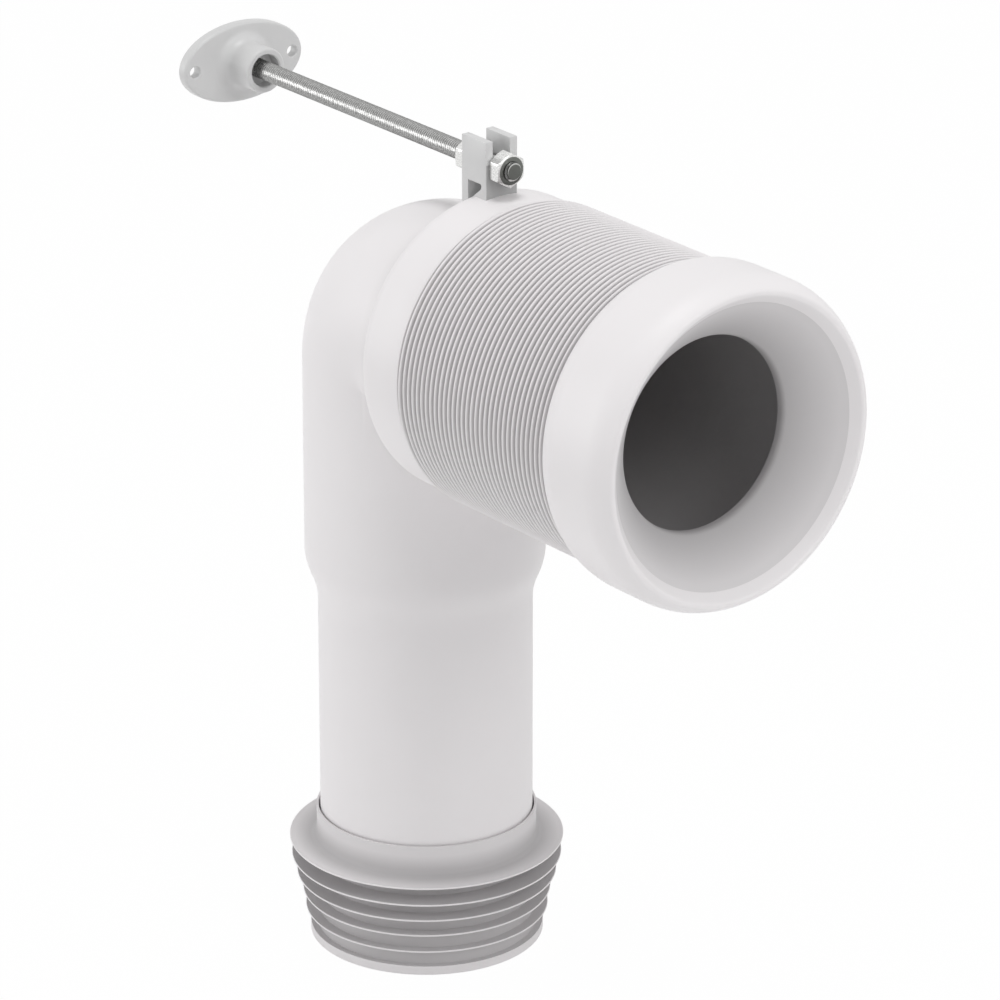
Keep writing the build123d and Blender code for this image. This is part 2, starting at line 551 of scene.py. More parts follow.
class Graph:
    """A short way to place and join shader nodes."""

    def __init__(self, tree: NodeTree) -> None:
        """Work on a node tree."""
        self.tree = tree

    def add(self, kind: str, **settings: object) -> Node:
        """Place a node.

        Args:
            kind: The node's type.
            settings: Properties of the node.

        Returns:
            The node.
        """
        node = self.tree.nodes.new(kind)
        for name, value in settings.items():
            setattr(node, name, value)
        return node

    def join(self, source: NodeSocket, target: NodeSocket) -> None:
        """Link an output to an input."""
        self.tree.links.new(source, target)

    def spread(
        self, value: NodeSocket, low: float, high: float, start: float = 0.0, stop: float = 1.0,
    ) -> NodeSocket:
        """Map a value between start and stop onto a range.

        Args:
            value: The socket.
            low: Result at start and below.
            high: Result at stop and above.
            start: Value that gives low.
            stop: Value that gives high.

        Returns:
            The result's socket.
        """
        node = self.add("ShaderNodeMapRange")
        self.join(value, node.inputs["Value"])
        for name, number in (("From Min", start), ("From Max", stop), ("To Min", low), ("To Max", high)):
            node.inputs[name].default_value = number
        return node.outputs["Result"]

    def reckon(self, operation: str, first: NodeSocket, second: NodeSocket | float) -> NodeSocket:
        """Work out a value from two others.

        Args:
            operation: What is done, as the Math node names it.
            first: The first value's socket.
            second: The second value, or its socket.

        Returns:
            The result's socket.
        """
        node = self.add("ShaderNodeMath", operation=operation)
        self.join(first, node.inputs[0])
        if isinstance(second, NodeSocket):
            self.join(second, node.inputs[1])
        else:
            node.inputs[1].default_value = second
        return node.outputs[0]

    def vector(self, operation: str, first: NodeSocket, second: Sequence[float] | None = None) -> Node:
        """Place a node that works on vectors.

        Args:
            operation: What is done, as the Vector Math node names it.
            first: The first vector's socket.
            second: The second vector, where there is one.

        Returns:
            The node.
        """
        node = self.add("ShaderNodeVectorMath", operation=operation)
        self.join(first, node.inputs[0])
        if second is not None:
            node.inputs[1].default_value = second
        return node

    def blend(self, value: NodeSocket, first: Point, second: Point | NodeSocket) -> NodeSocket:
        """Mix two colours by a value.

        Args:
            value: The socket, 0 for the first colour and 1 for the second.
            first: The first colour.
            second: The second colour, or its socket.

        Returns:
            The colour's socket.
        """
        node = self.add("ShaderNodeMix", data_type="RGBA")
        self.join(value, node.inputs["Factor"])
        colours = [socket for socket in node.inputs if socket.type == "RGBA"]
        colours[0].default_value = (*first, 1.0)
        if isinstance(second, NodeSocket):
            self.join(second, colours[1])
        else:
            colours[1].default_value = (*second, 1.0)
        return next(socket for socket in node.outputs if socket.type == "RGBA")


def moulded_skin() -> NodeTree:
    """The shared node group of all surfaces: slow cloudiness and a fine grain, on object coordinates.

    Returns:
        The group, with Cloud and Grain as its outputs.
    """
    name = "moulded_skin"
    if name in bpy.data.node_groups:
        return bpy.data.node_groups[name]
    group = bpy.data.node_groups.new(name, "ShaderNodeTree")
    for label in ("Cloud Scale", "Grain Scale"):
        group.interface.new_socket(name=label, in_out="INPUT", socket_type="NodeSocketFloat")
    for label in ("Cloud", "Grain"):
        group.interface.new_socket(name=label, in_out="OUTPUT", socket_type="NodeSocketFloat")
    graph = Graph(group)
    inlet = graph.add("NodeGroupInput")
    outlet = graph.add("NodeGroupOutput")
    place = graph.add("ShaderNodeTexCoord")
    for label, detail in (("Cloud", 4.0), ("Grain", 2.0)):
        noise = graph.add("ShaderNodeTexNoise")
        noise.inputs["Detail"].default_value = detail
        graph.join(place.outputs["Object"], noise.inputs["Vector"])
        graph.join(inlet.outputs[f"{label} Scale"], noise.inputs["Scale"])
        graph.join(noise.outputs["Fac"], outlet.inputs[label])
    return group


def turned_place(name: str, sheet: Sheet) -> NodeTree:
    """A shared node group that tells where a spot lies about a turned piece's axis, on object coordinates.

    Args:
        name: The group's name.
        sheet: The sheet that has the axis.

    Returns:
        The group, with Along and Reach in metres and the direction Outward as its outputs.
    """
    if name in bpy.data.node_groups:
        return bpy.data.node_groups[name]
    group = bpy.data.node_groups.new(name, "ShaderNodeTree")
    for label in ("Along", "Reach"):
        group.interface.new_socket(name=label, in_out="OUTPUT", socket_type="NodeSocketFloat")
    group.interface.new_socket(name="Outward", in_out="OUTPUT", socket_type="NodeSocketVector")
    graph = Graph(group)
    outlet = graph.add("NodeGroupOutput")
    place = graph.add("ShaderNodeTexCoord")
    near = graph.vector("SUBTRACT", place.outputs["Object"], sheet.point((0.0, 0.0))).outputs["Vector"]
    flat = Vector((1.0, 1.0, 1.0)) - Vector(sheet.along)
    across = graph.vector("MULTIPLY", near, flat).outputs["Vector"]
    found = (
        ("Along", graph.vector("DOT_PRODUCT", near, sheet.along).outputs["Value"]),
        ("Reach", graph.vector("LENGTH", across).outputs["Value"]),
        ("Outward", graph.vector("NORMALIZE", across).outputs["Vector"]),
    )
    for label, socket in found:
        graph.join(socket, outlet.inputs[label])
    return group


@dataclass(frozen=True)
class CreaseShade:
    """Painted shade: a crease round a turned piece, in which the colour is painted darker where shade falls.

    Attributes:
        name: Name of the node group for its axis.
        sheet: The sheet that has the axis.
        out: Distance of the crease from the axis, in millimetres.
        reach: Distance over which the shade fades, in millimetres.
        shade: Colour of the painted shade in the crease.
        along: Place of the crease along the axis, or nothing if it is all along it.
    """

    name: str
    sheet: Sheet
    out: float
    reach: float
    shade: Point
    along: float | None = None

    def darken(self, graph: Graph, colour: NodeSocket) -> NodeSocket:
        """Paint shade on a colour near the crease.

        Args:
            graph: The material's tree.
            colour: The colour away from the crease.

        Returns:
            The shaded colour's socket.
        """
        place = graph.add("ShaderNodeGroup", node_tree=turned_place(self.name, self.sheet))
        away = graph.reckon("SUBTRACT", place.outputs["Reach"], self.out * MM)
        if self.along is None:
            away = graph.reckon("MAXIMUM", away, 0.0)
        else:
            aside = graph.reckon("SUBTRACT", place.outputs["Along"], self.along * MM)
            squares = [graph.reckon("MULTIPLY", span, span) for span in (away, aside)]
            away = graph.reckon("POWER", graph.reckon("ADD", *squares), 0.5)
        # Painted shade: towards the crease the colour goes over to the shade colour.
        return graph.blend(graph.spread(away, 0.0, 1.0, 0.0, self.reach * MM), self.shade, colour)


def plain_material(name: str) -> tuple[Material, Graph, Node]:
    """Make a material with an untouched shader.

    Args:
        name: The material's name.

    Returns:
        The material, its tree and its shader.
    """
    made = bpy.data.materials.new(name)
    made.use_nodes = True
    return made, Graph(made.node_tree), made.node_tree.nodes["Principled BSDF"]


@dataclass(frozen=True)
class MouldedFinish:
    """A moulded plastic or rubber surface.

    Attributes:
        name: The material's name.
        dark: Colour in the darker clouds.
        pale: Colour in the paler clouds.
        rough_low: Lowest roughness.
        rough_high: Highest roughness.
        grain: Depth of the fine grain, in millimetres.
        grain_share: Share of that depth that shows.
        grain_scale: Grains per metre.
        cloud_scale: Clouds per metre.
        shine: Strength of its reflections.
        sheen: Strength of the pale bloom where it turns away.
        sheen_rough: Roughness of that bloom.
        crease_shade: Painted shade in a crease, if it has one.
    """

    name: str
    dark: Point
    pale: Point
    rough_low: float
    rough_high: float
    grain: float = 0.02
    grain_share: float = 0.6
    grain_scale: float = 900.0
    cloud_scale: float = 18.0
    shine: float = 0.5
    sheen: float = 0.0
    sheen_rough: float = 0.2
    crease_shade: CreaseShade | None = None

    def material(self) -> Material:
        """The material, made on the first call."""
        if self.name in bpy.data.materials:
            return bpy.data.materials[self.name]
        made, graph, shader = plain_material(self.name)
        shader.inputs["Specular IOR Level"].default_value = self.shine
        shader.inputs["Sheen Weight"].default_value = self.sheen
        shader.inputs["Sheen Roughness"].default_value = self.sheen_rough
        skin = graph.add("ShaderNodeGroup", node_tree=moulded_skin())
        skin.inputs["Cloud Scale"].default_value = self.cloud_scale
        skin.inputs["Grain Scale"].default_value = self.grain_scale
        colour = graph.blend(skin.outputs["Cloud"], self.dark, self.pale)
        # Painted shade in a crease.
        if self.crease_shade:
            colour = self.crease_shade.darken(graph, colour)
        graph.join(colour, shader.inputs["Base Color"])
        rough = graph.spread(skin.outputs["Cloud"], self.rough_high, self.rough_low)
        graph.join(rough, shader.inputs["Roughness"])
        bump = graph.add("ShaderNodeBump")
        bump.inputs["Distance"].default_value = self.grain * MM
        bump.inputs["Strength"].default_value = self.grain_share
        graph.join(skin.outputs["Grain"], bump.inputs["Height"])
        graph.join(bump.outputs["Normal"], shader.inputs["Normal"])
        return made


@dataclass(frozen=True)
class SteelFinish:
    """Plated steel with a fine speckle and painted shade in the root of a thread, with its own glancing
    reflection.

    Attributes:
        name: The material's name.
        dark: Colour of the painted shade in the thread's root, and of the darkest specks.
        pale: Colour of the bright plating.
        glance: Share of a glancing reflection that it gives back.
        rough_low: Lowest roughness.
        rough_high: Highest roughness.
        root_r: Distance from the axis of the thread's root, in millimetres.
        crest_r: Distance of its crest.
        barrel: Whether it is the rod, whose fine thread reflects as a smooth barrel.
        speck_scale: Specks per metre.
        speck_shade: Brightness of the darkest specks.
        speck_low: Value of the grain at which a speck is darkest.
        speck_high: Value at which the plating is bright again.
    """

    name: str
    dark: Point
    pale: Point
    glance: float
    rough_low: float
    rough_high: float
    root_r: float = 3.3
    crest_r: float = 3.95
    barrel: bool = False
    speck_scale: float = 1400.0
    speck_shade: float = 0.5
    speck_low: float = 0.35
    speck_high: float = 0.6

    def material(self) -> Material:
        """The material, made on the first call."""
        if self.name in bpy.data.materials:
            return bpy.data.materials[self.name]
        made, graph, shader = plain_material(self.name)
        shader.inputs["Metallic"].default_value = 1.0
        shader.inputs["Specular Tint"].default_value = (self.glance, self.glance, self.glance, 1.0)
        place = graph.add("ShaderNodeGroup", node_tree=turned_place("about_rod", ROD))
        skin = graph.add("ShaderNodeGroup", node_tree=moulded_skin())
        skin.inputs["Grain Scale"].default_value = self.speck_scale
        # Painted shade: the colour darkens from the thread's crest to its root.
        crest = graph.spread(place.outputs["Reach"], 0.0, 1.0, self.root_r * MM, self.crest_r * MM)
        speckle = graph.spread(skin.outputs["Grain"], self.speck_shade, 1.0, self.speck_low, self.speck_high)
        bright = graph.blend(graph.reckon("MULTIPLY", crest, speckle), self.dark, self.pale)
        graph.join(bright, shader.inputs["Base Color"])
        if self.barrel:
            graph.join(place.outputs["Outward"], shader.inputs["Normal"])
        graph.join(graph.spread(speckle, self.rough_high, self.rough_low), shader.inputs["Roughness"])
        return made


WARM_CAST = (1.015, 0.988, 0.998)


def grey(level: float) -> Point:
    """A grey with the faint warm cast of the mouldings."""
    return tuple(cast * level for cast in WARM_CAST)


# The satin white carries painted shade on the elbow, darkest where it meets the collar's back.
WHITE = MouldedFinish(
    "satin_white", grey(0.86), grey(0.90), rough_low=0.40, rough_high=0.52, sheen=0.3,
    crease_shade=CreaseShade("about_arm", ARM, out=DATUM.leg_r, reach=15.0, shade=grey(0.74), along=DATUM.collar_back),
)
# A grey below the satin white: on the fork of the white moulding it is painted shade; the wall flange takes
# the same grey.
FITTING_GREY_AND_SHADE = MouldedFinish(
    "white_fitting", (0.66, 0.66, 0.66), (0.71, 0.71, 0.71), rough_low=0.3, rough_high=0.42,
)
# Painted shadow of the nut on the fork's front below the rod.
FORK_SHADE = MouldedFinish(
    "fork_shade", (0.40, 0.40, 0.40), (0.45, 0.45, 0.45), rough_low=0.4, rough_high=0.55,
)
# Painted shade in the pleats' grooves, darkest at their bottoms.
SLEEVE = MouldedFinish(
    "sleeve_plastic", grey(0.84), grey(0.88), rough_low=0.45, rough_high=0.6,
    crease_shade=CreaseShade(
        "about_arm", ARM, out=DATUM.pleat_r - DATUM.pleat_depth, reach=DATUM.pleat_depth, shade=grey(0.2),
    ),
)
# Painted shade round the crease at the foot of the seal's upstand.
RUBBER = MouldedFinish(
    "seal_rubber", grey(0.72), grey(0.78), rough_low=0.55, rough_high=0.7, grain=0.03,
    crease_shade=CreaseShade("about_spigot", SPIGOT, out=47.5, reach=8.5, shade=grey(0.50), along=9.3),
)
# Painted highlight on the fins' edges and the ring's outside, and painted shade in the grooves between the
# fins.
FIN_EDGE_HIGHLIGHT = MouldedFinish("rubber_edge", grey(0.84), grey(0.89), rough_low=0.5, rough_high=0.65)
FIN_GROOVE_SHADE = MouldedFinish(
    "rubber_groove", grey(0.56), grey(0.62), rough_low=0.6, rough_high=0.75, grain=0.03,
)
# Painted shade on the funnel, darkest at the lip.
LIP_RUBBER = MouldedFinish(
    "lip_rubber", grey(0.70), grey(0.75), rough_low=0.5, rough_high=0.65,
    crease_shade=CreaseShade("about_arm", ARM, out=DATUM.lip_r, reach=16.0, shade=grey(0.50)),
)
# Painted shade: the insides of the white parts are painted mid grey for the shade in them.
BORE_SHADE = MouldedFinish("dark_bore", grey(0.45), grey(0.51), rough_low=0.5, rough_high=0.7, shine=0.15)
# The thread's root carries painted shade.
THREAD = SteelFinish(
    "plated_thread", (0.25, 0.25, 0.245), (0.84, 0.84, 0.83), glance=0.0, rough_low=0.25, rough_high=0.45,
    barrel=True,
)
PLATING = SteelFinish(
    "zinc_plating", (0.45, 0.45, 0.44), (0.84, 0.84, 0.83), glance=0.5, rough_low=0.2, rough_high=0.35,
)
# Painted dark reflection on the faces that look along the rod: the nuts' faces and the rod's ends.
END_FACE_REFLECTION = SteelFinish(
    "sawn_steel", (0.15, 0.155, 0.145), (0.17, 0.175, 0.165), glance=0.8, rough_low=0.3, rough_high=0.45,
)

Finish = MouldedFinish | SteelFinish


@dataclass(frozen=True)
class Piece:
    """One dressed piece that stands for one solid.

    Attributes:
        node: Name of the solid that it stands for.
        body: The body it moves with.
        slot: The record's material slot.
        finishes: Its materials, in the order of their index.
    """

    node: str
    body: Body
    slot: Slot
    finishes: tuple[Finish, ...]

    def index(self, finish: Finish) -> int:
        """The material index of one of its finishes."""
        return self.finishes.index(finish)

    def dress(self, made: Object) -> Object:
        """Shade the mesh, give it its finishes and put it in the place of its solid.

        Args:
            made: The object.

        Returns:
            The same object.
        """
        data: Mesh = made.data
        for finish in self.finishes:
            data.materials.append(finish.material())
        data.shade_smooth()
        data.set_sharp_from_angle(angle=SMOOTH_ANGLE)
        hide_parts(self.node)
        return made

    def fix(self, made: Object) -> None:
        """Dress the object and make it move with its body.

        Args:
            made: The object.
        """
        self.dress(made)
        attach(made, self.body.value)
        log.info("%s: %d faces on %s", made.name, len(made.data.polygons), self.body.value)


@dataclass
class Bend:
    """The white moulding: spigot, tapered step, tight elbow, collar and the forked lug on top."""

    bend_radius: float = 20.0
    bend_steps: int = 12
    taper_start: float = 117.0
    taper_length: float = 24.0
    taper_steps: int = 16
    collar_r: float = 63.5
    collar_round: float = 8.0
    collar_edge: float = 0.5
    reach: float = 56.0
    lug_top: float = 11.6
    lug_plate: float = 3.7
    lug_edge: float = 0.35
    slot_gap: float = 0.3
    shade_top: float = 2.0
    window_setback: float = 4.2
    window_length: float = 8.8
    window_height: float = 9.0
    window_tip: float = 2.0
    window_bridge: float = 2.2
    window_round: float = 0.9
    piece: Piece = Piece("bend", Body.CONNECTOR, Slot.WHITE, (WHITE, BORE_SHADE, FITTING_GREY_AND_SHADE, FORK_SHADE))

    @property
    def slot(self) -> float:
        """Half the width of the fork's slot."""
        return DATUM.rod_r + self.slot_gap

    @property
    def side(self) -> float:
        """Half the width of the fork."""
        return self.slot + self.lug_plate

    def stops(self, inset: float, bottom: float) -> list[Flat]:
        """Height and radius of each ring from the elbow's foot down to the spigot's end.

        Args:
            inset: How far inside the outer skin the surface lies.
            bottom: Height of the lowest ring.

        Returns:
            The rings, from the top down.
        """
        rings = []
        for step in range(self.taper_steps + 1):
            share = step / self.taper_steps
            ease = 2 * share * share if share < 0.5 else 1 - 2 * (1 - share) ** 2
            radius = DATUM.leg_r + (DATUM.pipe_r - DATUM.leg_r) * ease
            rings.append((self.taper_start + self.taper_length * (1 - share), radius - inset))
        return rings + [(bottom, DATUM.pipe_r - inset)]

    def tube(self, inset: float, bottom: float) -> BMesh:
        """A closed bent bar: half the elbow is drawn to the mitre plane and reflected, its foot drawn down.

        Args:
            inset: How far inside the outer skin the surface lies.
            bottom: Height of its lower end.

        Returns:
            The bar.
        """
        radius = DATUM.leg_r - inset
        pivot = Vector((self.bend_radius * MM, 0.0, DATUM.arm_height * MM - self.bend_radius * MM))
        across = Vector((1.0, 0.0, 1.0)).normalized()
        bar = bmesh.new()
        level = Matrix.Translation((0.0, 0.0, pivot.z))
        bmesh.ops.create_circle(bar, cap_ends=False, radius=radius * MM, segments=FINE_TURN, matrix=level)
        split(bar, pivot, (1, 0, 0))
        rim = bar.edges[:]
        outer = [edge for edge in rim if (edge.verts[0].co + edge.verts[1].co).x / 2 < pivot.x]
        leg = bmesh.ops.extrude_edge_only(bar, edges=rim)["geom"]
        drop = Vector((0.0, 0.0, (self.bend_radius - self.reach) * MM))
        bmesh.ops.translate(bar, vec=drop, verts=verts_in(leg))
        bmesh.ops.spin(
            bar, geom=outer + list({vert for edge in outer for vert in edge.verts}), cent=pivot,
            axis=(0, 1, 0), dvec=(0, 0, 0), angle=math.pi / 4, steps=self.bend_steps, use_merge=False,
        )
        split(bar, pivot, across, clear=True)
        half = bmesh.ops.duplicate(bar, geom=everything(bar))["geom"]
        flip = Matrix.Translation(pivot) @ Matrix.Scale(-1.0, 4, across) @ Matrix.Translation(-pivot)
        bmesh.ops.transform(bar, matrix=flip, verts=verts_in(half))
        bmesh.ops.remove_doubles(bar, verts=bar.verts[:], dist=SEAM)
        foot = [edge for edge in edges_at(bar, SPIGOT, DATUM.arm_height - self.reach) if edge.is_boundary]
        drawn_on(bar, foot, SPIGOT, radius, self.stops(inset, bottom))
        bmesh.ops.holes_fill(bar, edges=[edge for edge in bar.edges if edge.is_boundary])
        return seamed(bar)

    def collar(self) -> BMesh:
        """The collar as a solid drum with a rounded back and a broken front edge."""
        back, front, edge = DATUM.collar_back, DATUM.collar_front, self.collar_edge
        pen = Pen(COLLAR, (back, 0.0)).line((back, self.collar_r - self.collar_round))
        pen.arc((back + self.collar_round, self.collar_r - self.collar_round), -90.0, 12)
        pen.line((front - edge, self.collar_r)).arc((front - edge, self.collar_r - edge), -90.0, 3)
        return pen.line((front, 0.0)).turn()

    def socket(self) -> BMesh:
        """The space in the collar that takes the sleeve's neck."""
        back, bore = DATUM.collar_back + DATUM.wall, DATUM.collar_bore_r
        corner = self.collar_round - DATUM.wall
        past = DATUM.collar_front + DATUM.wall
        pen = Pen(COLLAR, (back, 0.0)).line((back, bore - corner))
        pen.arc((back + corner, bore - corner), -90.0, 8)
        return pen.line((past, bore), (past, 0.0)).turn()

    def fork(self) -> BMesh:
        """The fork's block, drawn from the front with a round-bottomed slot and soft edges, in the fitting's
        grey, with a painted shadow of the nut on its front below the shade line.
        """
        slot, side, top = self.slot, self.side, self.lug_top
        foot = DATUM.arm_height + DATUM.leg_r - DATUM.wall / 2 - DATUM.rod_height
        middle = (DATUM.lug_back + DATUM.lug_length / 2, 0.0, DATUM.rod_height)
        sheet = Sheet(middle, (0.0, 1.0, 0.0), (0.0, 0.0, 1.0))
        pen = Pen(sheet, (-side, foot)).line((side, foot), (side, top), (slot, top), (slot, 0.0))
        pen.arc((0.0, 0.0), -180.0, 16).line((-slot, top), (-side, top)).close()
        block = pen.thicken(DATUM.lug_length)
        sharp = [edge for edge in block.edges if edge.calc_face_angle(0.0) > SMOOTH_ANGLE]
        soften(block, sharp, self.lug_edge, 2)
        shade_line = sheet.point((0.0, self.shade_top))
        split(block, shade_line, (0, 0, 1))
        # The whole fork takes the fitting's grey, which is painted shade on the white moulding.
        for face in painted(seamed(block), self.piece.index(FITTING_GREY_AND_SHADE)).faces:
            # Front faces below the shade line get the painted shadow of the nut.
            if face.normal.x > END_FACING and face.calc_center_median().z < shade_line.z:
                face.material_index = self.piece.index(FORK_SHADE)
        return block

    def window(self) -> BMesh:
        """The tapered window through the fork's sides, upright at the rear and soft at its narrow end."""
        rear, top = DATUM.lug_back + self.window_setback, -self.slot - self.window_bridge
        tip, low = rear + self.window_length, top - self.window_height
        pen = Pen(ROD, (rear, low)).line((rear, top), (tip, top), (tip, top - self.window_tip)).close()
        made = pen.thicken(4 * self.side)
        narrow = [
            edge for edge in edges_at(made, ROD, tip)
            if abs(edge.verts[0].co.y - edge.verts[1].co.y) > MM
        ]
        soften(made, narrow, self.window_round, 4)
        return seamed(made)

    def build(self) -> None:
        """Join the outside shapes, take the waterway out and put the moulding in place."""
        made = as_object("bend_moulding", self.tube(0.0, DATUM.pipe_end))
        waterway = self.tube(DATUM.wall, DATUM.pipe_end - DATUM.wall)
        # The fork's window takes the fitting's grey, painted shade on the white moulding.
        shaded_fitting, bore = self.piece.index(FITTING_GREY_AND_SHADE), self.piece.index(BORE_SHADE)
        carve(
            made,
            (Tool.ADD, self.collar()),
            (Tool.ADD, self.fork()),
            (Tool.TAKE, painted(self.window(), shaded_fitting)),
            # The waterway and the socket take the bore's painted shade.
            (Tool.TAKE, painted(waterway, bore)),
            (Tool.TAKE, painted(self.socket(), bore)),
        )
        self.piece.fix(made)


@dataclass
class FinnedSeal:
    """The rubber seal on the spigot: upstand, flange, swept fins and a lead-in ring."""

    gap: float = 0.25
    core: float = 1.4
    flange_r: float = 58.1
    fin_radii: tuple[float, ...] = (57.25, 55.15, 52.7, 51.55)
    fin_pitch: float = 8.05
    fin_edge: float = 0.8
    fin_root: float = 2.4
    fin_sweep: float = 1.2
    ring_r: float = 49.55
    ring_height: float = 3.94
    upstand_height: float = 14.0
    upstand_relief: float = 0.5
    upstand_round: float = 3.0
    edge_round: float = 0.15
    piece: Piece = Piece("finned_seal", Body.CONNECTOR, Slot.RUBBER, (RUBBER, FIN_EDGE_HIGHLIGHT, FIN_GROOVE_SHADE))

    def paint_highlight_and_shade(self, seal: BMesh) -> BMesh:
        """Paint highlights on the fins' edges and the ring's outside, and paint shade in the grooves between
        the fins.

        Args:
            seal: The turned seal.

        Returns:
            The same seal.
        """
        half = self.fin_edge / 2
        levels = [self.fin_pitch] + [-self.fin_pitch * index for index in range(len(self.fin_radii))]
        rims = list(zip(levels, (self.flange_r, *self.fin_radii)))
        top, bottom = self.fin_pitch - half, -self.fin_pitch * len(self.fin_radii) + half
        for face in seal.faces:
            centre = face.calc_center_median() / MM
            reach = math.hypot(centre.x, centre.y)
            outside = reach + 2 * self.edge_round
            on_fin = any(abs(centre.z - level) <= half and outside > rim for level, rim in rims)
            on_ring = centre.z < bottom and reach > self.ring_r - 3 * self.edge_round
            # Painted highlight on the edges and the ring, painted shade in the grooves.
            if on_fin or on_ring:
                face.material_index = self.piece.index(FIN_EDGE_HIGHLIGHT)
            elif bottom < centre.z < top:
                face.material_index = self.piece.index(FIN_GROOVE_SHADE)
        return seal

    def build(self) -> None:
        """Draw the seal's section from the upstand down its fins and turn it."""
        bore = DATUM.pipe_r + self.gap
        core = bore + self.core
        half, root = self.fin_edge / 2, self.fin_root / 2
        flange, top = self.fin_pitch, self.fin_pitch + self.upstand_height
        soft, curve = self.edge_round, self.upstand_round
        pen = Pen(SPIGOT, (flange, bore)).line((top, bore + self.upstand_relief))
        pen.line((top, core - soft), (top - soft, core))
        pen.line((flange + half + curve, core)).arc((flange + half + curve, core + curve), -90.0, 8)
        pen.line((flange + half, self.flange_r - soft), (flange + half - soft, self.flange_r))
        pen.line((flange - half + soft, self.flange_r), (flange - half, self.flange_r - soft))
        pen.line((flange - self.fin_sweep - root, core))
        for index, radius in enumerate(self.fin_radii):
            level = -self.fin_pitch * index
            middle = level - self.fin_sweep
            pen.line((middle + root, core), (level + half, radius - soft), (level + half - soft, radius))
            pen.line((level - half + soft, radius), (level - half, radius - soft), (middle - root, core))
        ring_top = -self.fin_pitch * len(self.fin_radii) + half
        ring_low = ring_top - self.ring_height
        pen.line((ring_top, core), (ring_top, self.ring_r - soft), (ring_top - soft, self.ring_r))
        pen.line((ring_low + 2 * soft, self.ring_r), (ring_low, self.ring_r - 2 * soft))
        pen.line((ring_low, DATUM.pipe_r - DATUM.wall), (DATUM.pipe_end, DATUM.pipe_r - DATUM.wall))
        pen.line((DATUM.pipe_end, bore)).close()
        self.piece.fix(as_object("spigot_seal", self.paint_highlight_and_shade(pen.turn())))


@dataclass
class Bellows:
    """The flexible sleeve: rounded pleats outside, a smooth bore painted mid grey as shade, and a plain neck
    at each end.
    """

    crest: float = 1.3
    valley: float = 0.5
    wall: float = 2.2
    rear_neck: float = 17.0
    bore_cuts: int = 24
    piece: Piece = Piece("bellows", Body.CONNECTOR, Slot.SLEEVE, (SLEEVE, BORE_SHADE))

    def build(self) -> None:
        """Turn one pleat, repeat it along the arm, then draw the necks and the bore on from its end rings."""
        groove = DATUM.pleat_r - DATUM.pleat_depth
        round_r = self.crest / 2
        crown = DATUM.pleat_r - round_r
        start, end = DATUM.first_groove, DATUM.first_groove + DATUM.pleat_pitch
        middle = start + DATUM.pleat_pitch / 2
        pen = Pen(ARM, (start, groove)).line((start + self.valley / 2, groove), (middle - round_r, crown))
        pen.arc((middle, crown), -180.0, 6).line((end - self.valley / 2, groove), (end, groove))
        sleeve = pen.turn()
        pleat = everything(sleeve)
        for index in range(1, DATUM.pleat_count):
            copy = bmesh.ops.duplicate(sleeve, geom=pleat)["geom"]
            step = Vector((index * DATUM.pleat_pitch * MM, 0.0, 0.0))
            bmesh.ops.translate(sleeve, vec=step, verts=verts_in(copy))
        bmesh.ops.remove_doubles(sleeve, verts=sleeve.verts[:], dist=SEAM)
        neck, bore = DATUM.neck_r, DATUM.neck_r - self.wall
        ends = (
            (DATUM.first_groove, DATUM.collar_front, DATUM.collar_front - self.rear_neck),
            (DATUM.last_groove, DATUM.cuff_back, DATUM.cuff_back + DATUM.front_neck),
        )
        rings = []
        for place, shoulder, tip in ends:
            ring = [edge for edge in edges_at(sleeve, ARM, place) if edge.is_boundary]
            rings += drawn_on(sleeve, ring, ARM, groove, ((shoulder, neck), (tip, neck), (tip, bore)))
        bridged = bmesh.ops.bridge_loops(sleeve, edges=rings)["faces"]
        # The sleeve's bore takes the bore's painted shade.
        for face in bridged:
            face.material_index = self.piece.index(BORE_SHADE)
        edges = {edge for face in bridged for edge in face.edges}
        lengthwise = [edge for edge in edges if abs(edge.verts[0].co.x - edge.verts[1].co.x) > MM]
        bmesh.ops.subdivide_edges(sleeve, edges=lengthwise, cuts=self.bore_cuts, use_grid_fill=True)
        made = self.piece.dress(as_object("pleated_sleeve", seamed(sleeve)))
        ARM.point((DATUM.first_groove, 0.0))
        ARM.point((DATUM.last_groove, 0.0))
        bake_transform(made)
        log.info("%s: %d faces, stretched between collar and cuff", made.name, len(made.data.polygons))


